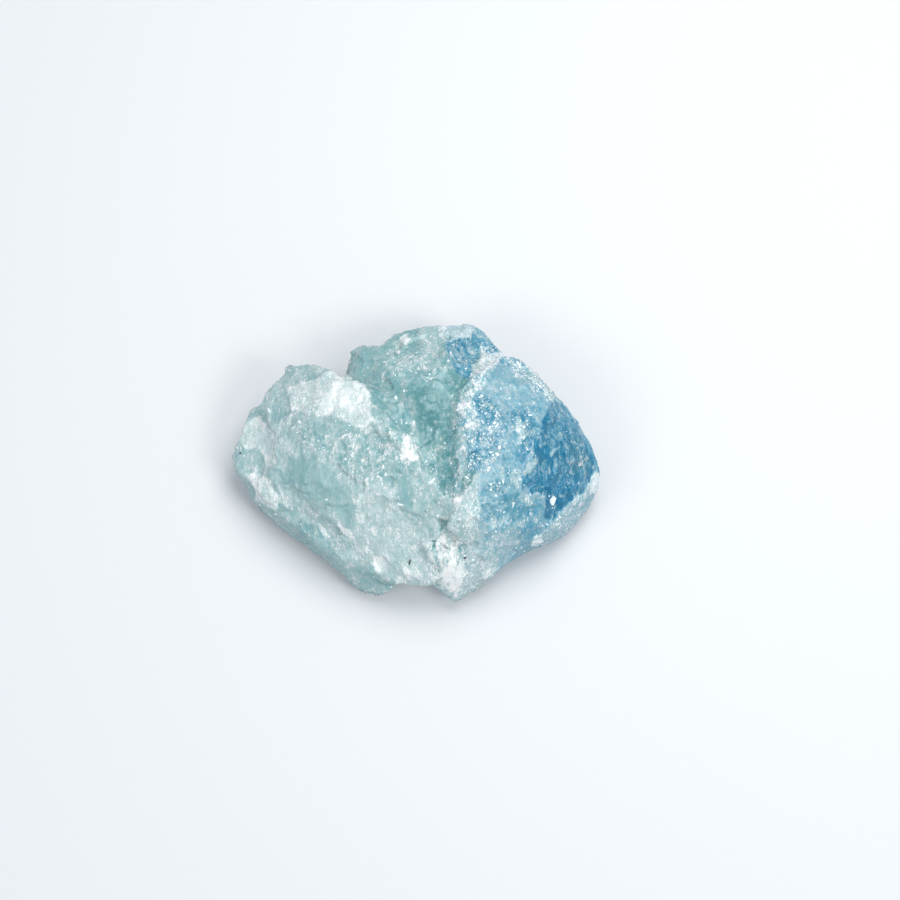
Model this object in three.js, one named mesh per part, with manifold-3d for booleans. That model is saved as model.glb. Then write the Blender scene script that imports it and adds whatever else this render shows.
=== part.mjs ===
// A rough aquamarine crystal: one broken, unpolished piece of beryl, resting on a flat fracture.
//
// The piece is one crystal that broke along three fans of fracture. Each fan is modelled as the convex
// hull of its own landmark corners, nibbled by many small fracture planes, and all of them are joined
// into one solid. A few larger flakes are then broken off, which leaves the ledges of the top face.
//
// Millimetres, +Z up, +X to the right and +Y to the back. The origin is the centre of the bounding
// box at the resting face, z = 0.

import * as THREE from "three";
import { ConvexGeometry } from "three/addons/geometries/ConvexGeometry.js";
import { mergeVertices } from "three/addons/utils/BufferGeometryUtils.js";
import Module from "manifold-3d";

const wasm = await Module();
wasm.setup();

// Driving dimensions of the finished piece.
const LENGTH = 42.0; // along X
const WIDTH = 31.6; // along Y
const HEIGHT = 14.2; // from the resting face to the highest crest

// Small fracture planes: how many nibble each block, and how deep they bite.
const CHIPS_PER_BLOCK = 90;
const CHIP_DEPTH = { shallow: 0.05, deep: 0.32 };
const LOWEST_FACING = -0.55; // z of the most downward chip normal, so that the resting face stays whole
const SEED = 11;

const FLAKE_TOP = 20; // the flake cutters reach this high, clear above the piece
const CUTTER = 80; // side of the box that stands for a half space
const MERGE_WITHIN = 1e-4;

// Landmark corners, [x, y, z], of each block. The last rows of a block reach under its neighbours.
const BLOCKS = {
  left: [
    // back edge, from the notch to the left shoulder
    [-9.4, 7.9, 9.2], [-10.9, 8.5, 9.0], [-12.7, 9.5, 8.2], [-14.8, 9.6, 7.4], [-15.8, 8.9, 6.8],
    // left edge, from the shoulder to the lowest left corner
    [-17.5, 6.9, 6.6], [-19.5, 4.8, 5.8], [-20.3, 2.4, 5.2], [-21.1, -0.2, 4.2], [-20.8, -1.4, 3.0],
    // front wall, top edge
    [-19.4, -3.4, 5.6], [-16.0, -7.1, 5.8], [-11.9, -10.4, 6.0], [-8.7, -12.9, 6.0],
    [-3.0, -15.1, 5.6], [-0.6, -15.7, 5.8], [1.4, -16.1, 6.0],
    // front wall, foot
    [-19.3, -5.2, 1.9], [-16.0, -8.0, 1.6], [-11.8, -11.4, 1.6], [-8.6, -13.8, 1.7],
    [-1.6, -14.2, 3.0], [1.4, -14.4, 3.6],
    // crest above the valley
    [-8.4, 7.1, 11.2], [-6.0, 5.6, 12.6], [-4.0, 0.6, 13.4], [-0.2, -2.4, 13.2], [3.4, -7.6, 12.2],
    // shoulder between the crest and the left edge
    [-12.6, 2.6, 11.0], [-9.5, -4.8, 10.6],
    // resting face
    [-14.0, 4.2, 0], [-16.2, -1.6, 0], [-12.0, -6.8, 0], [-4.6, -10.2, 0], [1.0, -9.0, 0], [-6.0, 5.2, 0],
    // under the other blocks
    [1.0, 5.0, 10.4], [5.0, -4.0, 11.2], [5.8, -11.0, 9.4],
  ],
  nub: [
    [-9.6, -12.4, 4.4], [-8.2, -13.4, 4.8], [-4.4, -13.8, 5.0], [-2.6, -13.8, 4.6],
    [-8.8, -13.8, 1.7], [-6.9, -15.5, 1.4], [-5.4, -15.9, 1.6], [-3.0, -15.3, 2.6],
    [-8.0, -8.6, 0], [-5.0, -11.4, 0], [-3.0, -9.4, 0], [-6.0, -8.0, 6.0],
  ],
  middle: [
    // back edge, from the notch to the right shoulder
    [-8.9, 8.9, 7.0], [-8.9, 9.8, 7.4], [-8.0, 11.1, 8.0], [-5.9, 11.8, 8.3], [-2.6, 13.6, 8.2],
    [1.4, 14.2, 8.0], [4.5, 14.4, 7.8], [6.3, 14.4, 7.4], [7.9, 12.9, 7.6], [9.6, 10.9, 8.2],
    // foot of the back wall
    [-6.6, 9.4, 3.0], [0.2, 12.2, 3.2], [6.2, 12.4, 3.0],
    // the sunken face between the crests
    [-3.4, 8.6, 11.4], [3.6, 9.0, 11.8], [0.4, 3.4, 13.0], [2.8, -2.8, 12.9], [4.0, -8.6, 12.0],
    // resting face
    [-8.4, 5.2, 0], [2.6, 8.8, 0], [8.6, 7.4, 0], [7.0, -9.2, 0], [-1.6, -9.4, 0],
    // under the other blocks
    [-8.5, 3.0, 9.6], [-5.0, -5.0, 9.8], [9.5, 3.0, 9.8], [9.0, -7.0, 9.8],
    [2.0, -11.4, 9.4], [5.6, -11.6, 9.4],
  ],
  right: [
    // back edge, from the vein to the point
    [9.8, 10.5, 8.6], [10.9, 10.6, 8.6], [12.5, 9.6, 8.1], [14.2, 7.9, 7.6], [16.8, 5.4, 6.5],
    [18.4, 3.0, 5.6], [19.6, 0.9, 5.0], [20.8, -1.4, 4.6],
    // right end and foot of the pale wall
    [21.0, -3.4, 2.6], [19.2, -6.6, 2.1], [17.4, -8.8, 2.2], [14.4, -10.3, 2.6],
    // overhanging front edge
    [9.8, -13.9, 5.6], [7.4, -15.5, 5.0],
    // crest along the vein
    [8.7, 10.2, 9.6], [6.4, 6.8, 12.4], [5.2, 2.4, 13.8], [5.0, -1.4, 14.2],
    [5.2, -6.0, 13.8], [4.4, -10.2, 12.2],
    // break between the pale face and the blue face
    [14.4, 5.6, 9.8], [13.8, -0.8, 12.0], [12.6, -5.6, 12.1], [11.2, -10.4, 9.6],
    // top edge of the pale wall
    [18.0, -6.2, 6.9], [14.6, -9.6, 7.9],
    // resting face
    [9.0, 7.0, 0], [14.0, 2.4, 0], [15.6, -3.6, 0], [11.0, -8.4, 0], [4.0, -10.4, 0], [3.0, 0.0, 0],
    // under the other blocks
    [1.5, 5.0, 10.6], [0.0, -4.0, 11.0], [0.4, -10.4, 9.6],
  ],
  tip: [
    [1.4, -15.4, 4.0], [2.6, -16.2, 2.6], [4.2, -17.2, 1.7], [6.0, -16.1, 2.4], [7.3, -15.2, 3.6],
    [0.4, -12.6, 9.2], [2.4, -14.2, 8.2], [6.2, -13.6, 8.4], [3.8, -9.2, 12.0],
    [1.0, -9.6, 0], [4.6, -12.0, 0], [7.0, -9.6, 0], [-2.0, -8.0, 8.0], [9.0, -8.0, 8.0],
  ],
};

// Flakes broken off the top: the corners of each fresh face. The cutter rises straight up from them.
const FLAKES = {
  leftLedge: [
    [-16.9, -3.6, 6.5], [-16.2, -0.6, 7.2], [-17.0, 3.0, 7.2], [-18.8, 5.4, 6.0],
    [-23.0, 4.6, 4.4], [-23.0, -3.8, 3.6],
  ],
  frontLedge: [
    [-15.8, -5.6, 6.8], [-12.6, -6.9, 7.6], [-7.8, -10.2, 7.6], [-6.4, -12.4, 6.6],
    [-8.0, -14.8, 5.0], [-18.0, -7.6, 4.6],
  ],
  window: [[0.6, 2.0, 12.5], [3.6, 2.4, 12.5], [4.0, -3.0, 12.2], [2.6, -6.6, 11.8], [1.2, -3.0, 12.2]],
  blueCorner: [[4.4, 11.6, 9.2], [3.8, 8.8, 10.8], [6.4, 8.4, 11.0], [9.6, 11.6, 7.8], [8.0, 14.4, 6.6]],
  shoulderStep: [[-18.2, 5.0, 2.0], [-17.8, 5.4, 2.4], [-17.5, 6.2, 2.6], [-18.6, 7.6, 2], [-19.4, 5.2, 1.6]],
  backStep: [[-6.1, 11.4, 3.4], [-4.5, 11.2, 3.8], [-3.3, 12.6, 3.4], [-3.0, 15.0, 3.0], [-6.6, 14.0, 3.0]],
};

// A small seeded generator, so that the piece is the same on every build.
function seededRandom(seed) {
  let state = seed >>> 0;
  return () => {
    state = (Math.imul(state, 1664525) + 1013904223) >>> 0;
    return state / 2 ** 32;
  };
}

// A closed geometry as a manifold solid.
function toSolid(geometry) {
  geometry.deleteAttribute("normal");
  geometry.deleteAttribute("uv");
  const merged = mergeVertices(geometry, MERGE_WITHIN);
  const mesh = new wasm.Mesh({
    numProp: 3,
    vertProperties: merged.attributes.position.array,
    triVerts: new Uint32Array(merged.index.array),
  });
  return new wasm.Manifold(mesh);
}

function toGeometry(solid) {
  const mesh = solid.getMesh();
  const geometry = new THREE.BufferGeometry();
  geometry.setAttribute("position", new THREE.BufferAttribute(mesh.vertProperties, 3));
  geometry.setIndex(new THREE.BufferAttribute(mesh.triVerts, 1));
  return geometry;
}

function hullOf(corners) {
  return toSolid(new ConvexGeometry(corners.map((corner) => new THREE.Vector3(...corner))));
}

// Everything beyond a plane, as a large box with one face on the plane.
function halfSpace(normal, distance) {
  const box = new THREE.BoxGeometry(CUTTER, CUTTER, CUTTER).translate(0, 0, CUTTER / 2 + distance);
  const turn = new THREE.Quaternion().setFromUnitVectors(new THREE.Vector3(0, 0, 1), normal);
  return toSolid(box.applyQuaternion(turn));
}

// A direction spread evenly over the sphere above LOWEST_FACING.
function randomFacing(random) {
  const up = THREE.MathUtils.lerp(LOWEST_FACING, 1, random());
  const turn = 2 * Math.PI * random();
  const flat = Math.sqrt(1 - up * up);
  return new THREE.Vector3(flat * Math.cos(turn), flat * Math.sin(turn), up);
}

// Bites small planes off a block, each just inside the furthest corner in its direction.
function chippedBlock(corners, random) {
  let block = hullOf(corners);
  for (let i = 0; i < CHIPS_PER_BLOCK; i++) {
    const normal = randomFacing(random);
    const reach = Math.max(...corners.map((corner) => normal.dot(new THREE.Vector3(...corner))));
    const depth = THREE.MathUtils.lerp(CHIP_DEPTH.shallow, CHIP_DEPTH.deep, random());
    block = block.subtract(halfSpace(normal, reach - depth));
  }
  return block;
}

function flakeCutter(face) {
  return hullOf([...face, ...face.map(([x, y]) => [x, y, FLAKE_TOP])]);
}

// Moves the bounding box's bottom centre to the origin and brings it to the driving dimensions.
function fitted(geometry) {
  geometry.computeBoundingBox();
  const box = geometry.boundingBox;
  const size = box.getSize(new THREE.Vector3());
  const middle = box.getCenter(new THREE.Vector3());
  geometry.translate(-middle.x, -middle.y, -box.min.z);
  return geometry.scale(LENGTH / size.x, WIDTH / size.y, HEIGHT / size.z);
}

function crystalGeometry() {
  const random = seededRandom(SEED);
  const blocks = Object.values(BLOCKS).map((corners) => chippedBlock(corners, random));
  const whole = blocks.reduce((joined, block) => joined.add(block));
  const broken = Object.values(FLAKES).reduce((rest, face) => rest.subtract(flakeCutter(face)), whole);
  return fitted(toGeometry(broken));
}

const beryl = new THREE.MeshStandardMaterial({ color: 0x8fbfc4, roughness: 0.35, metalness: 0 });

const crystal = new THREE.Mesh(crystalGeometry(), beryl);
crystal.name = "crystal";

const part = new THREE.Group();
part.add(crystal);

export default part;
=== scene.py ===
import math
import random

import bpy
import numpy as np
from mathutils import Matrix, Vector, noise


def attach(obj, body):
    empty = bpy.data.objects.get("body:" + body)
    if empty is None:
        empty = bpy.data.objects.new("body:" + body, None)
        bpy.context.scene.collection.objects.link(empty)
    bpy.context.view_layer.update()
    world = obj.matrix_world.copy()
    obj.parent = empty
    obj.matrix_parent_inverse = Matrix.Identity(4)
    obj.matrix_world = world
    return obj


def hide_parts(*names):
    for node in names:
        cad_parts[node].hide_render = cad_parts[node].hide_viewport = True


# A rough piece of aquamarine, lying on a pale table.
# Lengths in the dictionaries are millimetres; the mesh is brought to metres at the very end.
# Places on the stone are given in plan, as (across, along). The colour zones of beryl run with the
# prism axis, and that axis leans back a little, so "along" is y plus a share of the height.

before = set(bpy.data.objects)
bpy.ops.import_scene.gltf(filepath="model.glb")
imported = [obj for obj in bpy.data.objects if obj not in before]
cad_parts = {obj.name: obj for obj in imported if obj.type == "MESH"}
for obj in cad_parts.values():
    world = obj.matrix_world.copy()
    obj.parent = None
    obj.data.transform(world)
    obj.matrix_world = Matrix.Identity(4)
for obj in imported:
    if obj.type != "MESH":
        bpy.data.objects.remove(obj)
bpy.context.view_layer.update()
mm = 0.001
prismTilt = math.radians(15)
prismLean = math.tan(prismTilt)
prismAxis = np.array([0, -math.sin(prismTilt), math.cos(prismTilt)])
zoneFlare = 0.0039  # the zones widen by this share with each mm up the prism axis
zoneHeart = np.array([3.5, 1.5, 5.0])
fanFoot = Vector((3.2, -15.5))  # the fractures spread like a fan from this place in plan
print("frame loaded")


def smoothStep(low, high, value):
    t = np.clip((value - low) / (high - low), 0, 1)
    return t * t * (3 - 2 * t)


def hexColour(code):
    # a hex colour as the linear values that shader sockets take
    parts = [int(code[i:i + 2], 16) / 255 for i in (0, 2, 4)]
    return [p / 12.92 if p <= 0.04045 else ((p + 0.055) / 1.055) ** 2.4 for p in parts] + [1]


def readRows(items, field, width, kind=float):
    flat = np.empty(len(items) * width, kind)
    items.foreach_get(field, flat)
    return flat.reshape(-1, width)


def readPoints(mesh):
    return readRows(mesh.vertices, "co", 3)


def writePoints(mesh, points):
    mesh.vertices.foreach_set("co", points.astype(np.float32).ravel())
    mesh.update()


def readNormals(mesh):
    return readRows(mesh.vertices, "normal", 3)


def readEdges(mesh):
    return readRows(mesh.edges, "vertices", 2, np.int32)


def putInScene(name, data):
    holder = bpy.data.objects.new(name, data)
    bpy.context.scene.collection.objects.link(holder)
    return holder


def meshFrom(name, corners, faces):
    mesh = bpy.data.meshes.new(name)
    mesh.from_pydata(corners, [], faces)
    return mesh


def neighbourMean(values, edges):
    # the mean of each point's neighbours
    count = np.bincount(edges.ravel(), minlength=len(values))
    total = np.empty_like(values)
    for axis in range(values.shape[1]):
        column = values[:, axis]
        total[:, axis] = (np.bincount(edges[:, 0], column[edges[:, 1]], len(values))
                          + np.bincount(edges[:, 1], column[edges[:, 0]], len(values)))
    return total / np.maximum(count, 1)[:, None]


def noiseField(points, size, seed, octaves=3):
    # smooth noise of about -1 to 1, with features of the given size in mm
    shift = Vector((seed * 17.3, seed * 5.1, seed * 11.7))
    return np.array([noise.fractal(Vector(p) / size + shift, 0.9, 2.1, octaves) for p in points])


def planOf(points):
    rise = (points - zoneHeart) @ prismAxis
    offset = points - zoneHeart
    across = zoneHeart[0] + offset[:, 0] * (1 + zoneFlare * rise)
    along = offset[:, 1] + prismLean * offset[:, 2]
    return np.stack([across, zoneHeart[1] + prismLean * zoneHeart[2] + along * (1 + zoneFlare * rise)], 1)


def insideBy(plan, outline):
    # how far each plan place lies inside an outline, in mm; negative outside
    corners = np.array(outline, float)
    following = np.roll(corners, -1, 0)
    nearest = np.full(len(plan), 1e9)
    inside = np.zeros(len(plan), bool)
    for a, b in zip(corners, following):
        side = b - a
        t = np.clip(((plan - a) @ side) / (side @ side), 0, 1)
        nearest = np.minimum(nearest, np.linalg.norm(plan - a - t[:, None] * side, axis=1))
        spans = (a[1] > plan[:, 1]) != (b[1] > plan[:, 1])
        rise = side[1] if side[1] else 1e-9
        inside ^= spans & (plan[:, 0] < side[0] * (plan[:, 1] - a[1]) / rise + a[0])
    return np.where(inside, nearest, -nearest)


stoneForm = {
    "grain": 0.19,        # side of the finished mesh's squares
    "softenRounds": 7,    # how much the flat CAD faces are rounded before they are broken up
    "swell": (6.5, 0.22),     # size and height of the broad unevenness
    "unevenness": (1.8, 0.035),
    "scallops": [(4.2, 0.08, 0.12), (1.7, 0.07, 0.11), (0.75, 0.06, 0.10)],  # size across, bowl depth, tilt
    "flakeScars": 260,
    "scarRadius": (0.6, 3.2),
    "scarDepth": 0.07,    # as a share of the scar's radius
    "crumble": 0.02,
    "wallCalm": 0.45,     # the front walls are this much smoother than the top
    "turnedRelief": 1.5,  # the walls turned away from the prism axis are this much rougher
    "restingBand": 0.45,  # the relief fades out within this height of the table
}


def roughStone():
    # a finer copy of the CAD crystal, in mm, as evenly spaced squares
    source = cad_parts["crystal"]
    mesh = source.data.copy()
    mesh.transform(Matrix.Scale(1 / mm, 4))
    stone = putInScene("aquamarineStone", mesh)
    remesh = stone.modifiers.new("evenGrain", "REMESH")
    remesh.mode = "VOXEL"
    remesh.voxel_size = stoneForm["grain"]
    bpy.context.view_layer.update()
    evaluated = stone.evaluated_get(bpy.context.evaluated_depsgraph_get())
    fine = bpy.data.meshes.new_from_object(evaluated)
    stone.modifiers.clear()
    stone.data = fine
    fine.name = "aquamarineStone"
    fine.materials.clear()
    return stone


smoothingStep = 0.6  # how far each round moves a point towards the middle of its neighbours


def soften(mesh, rounds):
    points, edges = readPoints(mesh), readEdges(mesh)
    for step in range(rounds):
        points += smoothingStep * (neighbourMean(points, edges) - points)
    writePoints(mesh, points)


# places worn smoother than the rest: (across, along, reach, rounds)
calmPlaces = [(2.9, 1.6, 4.8, 260), (-15.7, 12.9, 1.0, 40), (-6.2, 15.6, 0.8, 25), (-3.0, 17.0, 0.6, 15)]
# places where the outline stands further in or out: (across, along, reach, move across, move along)
setBacks = [(11.8, -10.8, 5.4, -0.36, 0.48), (7.2, -14.5, 2.4, -0.35, 0.2), (-8.9, 12.9, 1.6, 0.1, -1.0),
            (-20.6, 1.5, 3.4, -0.5, 0.0), (-3.6, -13.6, 1.9, 0.3, -0.4)]


def calmPlace(mesh, across, along, reach, rounds):
    points, edges = readPoints(mesh), readEdges(mesh)
    away = np.linalg.norm(planOf(points) - (across, along), axis=1)
    share = smoothingStep * smoothStep(reach, 0.5 * reach, away)[:, None]
    edges = edges[(away[edges] < reach).any(axis=1)]
    for step in range(rounds):
        points += share * (neighbourMean(points, edges) - points)
    writePoints(mesh, points)


def setBack(mesh, across, along, reach, moveAcross, moveAlong):
    points = readPoints(mesh)
    away = np.linalg.norm(planOf(points) - (across, along), axis=1)
    share = smoothStep(reach, 0.2 * reach, away)
    points[:, 0] += moveAcross * share
    points[:, 1] += moveAlong * share
    writePoints(mesh, points)


stone = roughStone()
soften(stone.data, stoneForm["softenRounds"])
for place in calmPlaces:
    calmPlace(stone.data, *place)
for place in setBacks:
    setBack(stone.data, *place)
print("rough stone:", len(stone.data.vertices), "points")


# Each zone has its outline in plan, and "edge" and "ragged": how soft and how uneven its border is, in mm.
#   rim       how much paler a thin lip just inside the border is, a painted highlight along the edge
#   tone      -1 deep and clear, 0 middling, 1 milky, 2 chalk white
#   blue      0 teal, 1 blue
#   mottle    how strongly the tone varies
#   flecks    share of the surface under small white fractures, partly painted glints
#   lift      how far the surface stands above or below its surroundings
zones = {
    "middle": {
        "outline": [(-9.0, 11.0), (-8.0, 15.0), (-2.0, 18.0), (7.0, 19.0), (5.6, 10.0), (4.4, 5.0),
            (5.0, -2.0), (1.0, -2.0), (-1.0, 4.0), (-5.0, 6.5)],
        "edge": 1.0, "ragged": 0.7, "tone": -0.25, "mottle": 0.6, "flecks": 0.07,
    },
    "right third": {
        "outline": [(9.6, 15.0), (6.6, 12.0), (5.6, 8.4), (4.9, 4.2), (5.4, 1.0), (6.8, -0.6),
            (7.0, -4.0), (7.2, -7.0), (8.6, -9.0), (9.0, -14.0), (24, -14), (24, 15)],
        "edge": 1.8, "ragged": 0.9, "tone": -0.02, "blue": 0.78, "mottle": 0.45, "flecks": 0.035,
    },
    "right foot": {
        "outline": [(7.0, -0.6), (10.0, 0.2), (12.0, -2.0), (12.4, -4.0), (13.9, -8.0), (12.3, -9.6),
            (9.6, -12.0), (7.0, -8.0), (7.0, -4.0)],
        "edge": 1.6, "ragged": 1.0, "tone": -0.3, "blue": 0.6, "mottle": 0.5, "flecks": 0.11,
    },
    "right toe": {
        "outline": [(5.3, -8.0), (7.0, -7.8), (9.0, -8.6), (9.3, -10.2), (9.3, -11.4), (8.0, -12.6),
            (7.0, -13.4), (6.0, -14.2), (4.9, -14.4), (5.4, -12.2)],
        "edge": 0.7, "ragged": 0.6, "tone": 0.7, "blue": 0.4, "mottle": 0.6, "flecks": 0.1,
    },
    "toe shadow": {
        "outline": [(9.1, -8.3), (10.2, -8.0), (11.4, -9.4), (11.0, -10.8), (9.6, -11.8), (9.2, -10.2)],
        "edge": 0.5, "ragged": 0.6, "tone": -0.05, "blue": 0.75, "mottle": 0.6,
    },
    "teal head": {
        "outline": [(-8.6, 11.2), (-8.8, 12.0), (-8.3, 12.9), (-8.0, 14.2), (-7.6, 14.8), (-6.0, 14.8),
            (-4.6, 15.1), (-3.7, 14.4), (-3.6, 13.5), (-3.9, 12.9), (-4.0, 11.5), (-4.6, 10.8),
            (-5.4, 10.8), (-6.4, 11.4), (-7.0, 11.0), (-7.8, 11.0)],
        "edge": 0.45, "ragged": 0.35, "tone": -0.08, "mottle": 0.5, "flecks": 0.03,
    },
    "crackled top": {
        "outline": [(-3.6, 14.5), (-2.0, 15.2), (0.2, 15.0), (1.8, 16.4), (2.4, 14.6), (0.8, 13.0),
            (-0.4, 12.4), (-1.6, 12.2), (-3.4, 12.4)],
        "edge": 1.4, "ragged": 1.0, "tone": 0.3, "mottle": 0.75, "flecks": 0.12,
    },
    "top rim": {
        "outline": [(-0.4, 17.6), (2.0, 18.4), (2.6, 16.8), (2.0, 15.0), (0.2, 15.2)],
        "edge": 1.0, "ragged": 0.6, "tone": 0.36, "mottle": 0.5,
    },
    "teal band": {
        "outline": [(-1.3, 11.0), (0.2, 11.5), (1.8, 10.8), (2.6, 12.3), (4.5, 12.1), (5.4, 11.2),
            (5.5, 10.2), (4.9, 9.2), (3.4, 9.2), (1.6, 8.6), (1.0, 7.0), (0.4, 4.8), (-0.6, 5.4),
            (-1.0, 8.0)],
        "edge": 1.4, "ragged": 0.8, "tone": -0.75, "mottle": 0.5, "flecks": 0.05,
    },
    "white chip": {
        "outline": [(-2.4, 16.5), (-1.9, 16.7), (-1.3, 16.9), (-1.4, 16.2), (-1.2, 15.7), (-1.5, 15.3),
            (-1.9, 15.8), (-2.4, 16.0)],
        "edge": 0.15, "ragged": 0.25, "tone": 1.4, "mottle": 0.5,
    },
    "pale facet": {
        "outline": [(2.0, 18.0), (6.0, 18.2), (6.3, 17.5), (6.1, 16.9), (5.7, 15.8), (4.2, 16.1),
            (3.9, 16.4), (2.8, 16.6), (2.4, 16.2)],
        "edge": 0.2, "ragged": 0.15, "tone": 0.72, "blue": 0.65, "mottle": 0.45, "lift": 0.06,
    },
    "blue corner": {
        "outline": [(2.9, 16.4), (3.9, 16.2), (5.7, 15.8), (6.2, 17.0), (7.0, 16.4), (7.2, 14.8),
            (6.4, 13.4), (6.0, 12.2), (5.8, 11.0), (5.0, 11.5), (4.2, 12.0), (3.7, 12.7), (3.4, 13.2),
            (3.1, 14.0), (3.2, 14.8), (2.9, 15.5)],
        "edge": 0.35, "ragged": 0.35, "tone": -0.26, "blue": 0.8, "mottle": 0.8,
        "flecks": 0.07, "lift": -0.16,
    },
    "corner shade": {
        "outline": [(3.4, 15.9), (4.6, 16.0), (6.6, 15.4), (5.2, 14.6), (3.6, 15.0)],
        "edge": 0.6, "ragged": 0.4, "tone": -0.7, "mottle": 0.7,
    },
    "blue rim": {
        "outline": [(6.1, 18.2), (7.9, 16.6), (9.6, 14.4), (8.9, 13.9), (7.6, 14.5), (6.8, 15.6),
            (6.2, 16.8)],
        "edge": 0.3, "ragged": 0.3, "tone": -0.1, "blue": 0.8, "mottle": 0.7, "flecks": 0.10,
    },
    "window": {
        "outline": [(1.1, 6.1), (2.2, 6.2), (3.1, 5.8), (3.5, 4.9), (4.3, 4.2), (4.1, 2.8), (4.4, 1.5),
            (5.4, 1.0), (6.6, 1.0), (6.9, 0.0), (6.0, -0.8), (5.3, -1.4), (4.7, -2.0), (4.2, -2.5),
            (3.6, -2.9), (3.1, -2.4), (2.2, -1.7), (1.8, -0.8), (0.9, 0.1), (0.2, 1.2), (0.3, 2.5),
            (0.3, 3.9), (1.0, 4.2)],
        "edge": 0.9, "ragged": 0.7, "tone": -0.55, "mottle": 0.75, "flecks": 0.10, "lift": -0.14,
    },
    "window core": {
        "outline": [(1.3, 5.9), (3.0, 5.7), (3.7, 4.4), (4.2, 3.6), (4.0, 1.2), (3.6, -0.6),
            (3.4, -2.6), (2.4, -1.6), (2.6, 0.4), (2.4, 2.6), (1.4, 4.4)],
        "edge": 1.0, "ragged": 0.8, "tone": -0.8, "mottle": 0.55, "flecks": 0.05,
    },
    "teal hollow": {
        "outline": [(-4.6, 9.6), (-1.0, 10.6), (2.2, 10.8), (3.6, 9.4), (3.2, 7.0), (3.0, 4.6),
            (1.0, 3.2), (-0.8, 4.4), (-2.8, 5.6), (-4.4, 7.4)],
        "edge": 1.6, "ragged": 1.0, "tone": -0.3, "mottle": 0.5, "flecks": 0.05,
    },
    "lee of the facet": {
        "outline": [(10.8, 7.6), (12.4, 7.8), (13.0, 5.6), (12.9, 3.0), (12.6, 0.8), (11.4, 1.4),
            (11.2, 4.4)],
        "edge": 1.2, "ragged": 0.9, "tone": -0.6, "mottle": 0.7, "flecks": 0.1,
    },
    "greyer foot": {
        "outline": [(6.8, 1.6), (9.4, 2.2), (11.4, 0.6), (11.6, -4.0), (11.2, -8.0), (8.4, -9.4),
            (6.8, -6.0)],
        "edge": 2.2, "ragged": 1.2, "blue": 0.62,
    },
    "shattered field": {
        "outline": [(6.2, 8.8), (8.3, 9.4), (10.0, 8.2), (10.1, 5.0), (9.8, 2.6), (9.2, 1.2),
            (7.4, 0.4), (5.6, 0.8), (5.6, 3.4), (6.2, 6.0)],
        "edge": 1.6, "ragged": 1.0, "tone": -0.42, "mottle": 0.75, "flecks": 0.23,
    },
    "field edge": {
        "outline": [(4.4, 8.6), (6.4, 9.2), (7.0, 6.2), (6.2, 3.4), (5.6, 1.2), (4.4, 1.0), (4.2, 3.0),
            (4.6, 4.6), (4.4, 6.6)],
        "edge": 1.0, "ragged": 0.8, "tone": 0.05, "blue": 0.55, "mottle": 0.85, "flecks": 0.15,
    },
    "vein": {
        "outline": [(9.8, 14.6), (9.4, 13.6), (8.2, 12.4), (7.4, 11.2), (6.7, 10.0), (6.3, 8.2),
            (5.4, 6.8), (4.3, 7.0), (4.5, 8.4), (5.4, 9.8), (5.9, 11.4), (6.6, 13.0), (7.6, 14.3),
            (9.0, 14.6)],
        "edge": 0.6, "ragged": 0.6, "tone": 0.66, "mottle": 1.0, "flecks": 0.34, "lift": 0.10,
    },
    "left third": {
        "outline": [(-9.2, 12.4), (-6.6, 10.6), (-5.6, 9.0), (-5.6, 7.0), (-4.4, 5.6), (-1.6, 4.6),
            (-0.2, 4.2), (-0.1, 1.4), (0.9, -0.1), (1.9, -1.0), (2.1, -1.8), (3.1, -2.6), (3.8, -3.4),
            (4.1, -4.8), (3.2, -5.8), (2.0, -7.4), (1.6, -10.0), (2.0, -14.0), (-24, -16), (-24, 15)],
        "rim": 0.5, "edge": 0.45, "ragged": 0.45, "tone": 0.38, "mottle": 0.5,
        "flecks": 0.06, "lift": 0.09,
    },
    "frosted middle": {
        "outline": [(-13.0, 5.4), (-6.8, 5.4), (-2.0, 4.8), (-0.2, 3.4), (-0.4, -0.6), (-4.0, -0.6),
            (-6.0, -1.0), (-9.6, 1.2), (-12.6, 2.8)],
        "edge": 1.4, "ragged": 1.0, "tone": 0.06, "mottle": 0.72, "flecks": 0.16,
    },
    "teal pool": {
        "outline": [(-4.2, 1.2), (-3.4, 0.4), (-4.0, -0.6), (-3.0, -1.4), (-2.7, -2.6), (-2.6, -3.6),
            (-2.0, -4.1), (-1.2, -4.4), (-0.4, -3.0), (-0.9, -1.0), (-1.6, 0.4), (-2.4, 1.2)],
        "edge": 0.7, "ragged": 0.5, "tone": -0.08, "mottle": 0.45, "flecks": 0.03,
    },
    "pool shore": {
        "outline": [(-0.6, 0.8), (0.4, 0.4), (1.6, -1.0), (2.6, -2.4), (3.6, -3.6), (3.6, -5.0),
            (2.0, -5.4), (0.6, -5.4), (-0.6, -4.8), (-0.6, -2.0)],
        "edge": 0.9, "ragged": 0.6, "tone": 0.2, "mottle": 0.5, "flecks": 0.08,
    },
    "upper left edge": {
        "outline": [(-15.9, 12.0), (-14.8, 13.1), (-13.0, 12.9), (-12.4, 13.1), (-11.9, 12.4),
            (-11.8, 11.5), (-13.0, 11.1), (-14.0, 10.8), (-14.9, 10.6), (-15.2, 9.9), (-15.3, 8.4),
            (-15.0, 7.4), (-16.6, 6.0), (-17.3, 6.4), (-17.0, 8.2), (-16.5, 9.4), (-16.4, 10.6)],
        "edge": 0.3, "ragged": 0.35, "tone": 0.22, "mottle": 0.45, "flecks": 0.05, "lift": -0.08,
    },
    "left shoulder": {
        "outline": [(-19.8, 7.0), (-18.9, 7.6), (-17.9, 7.4), (-17.4, 6.9), (-17.9, 6.1), (-18.4, 6.7),
            (-19.3, 6.6)],
        "edge": 0.2, "ragged": 0.25, "tone": -0.05, "mottle": 0.45,
    },
    "cream patch": {
        "outline": [(-15.2, 10.3), (-14.0, 10.8), (-12.4, 11.1), (-11.4, 11.4), (-10.6, 11.7),
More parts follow.
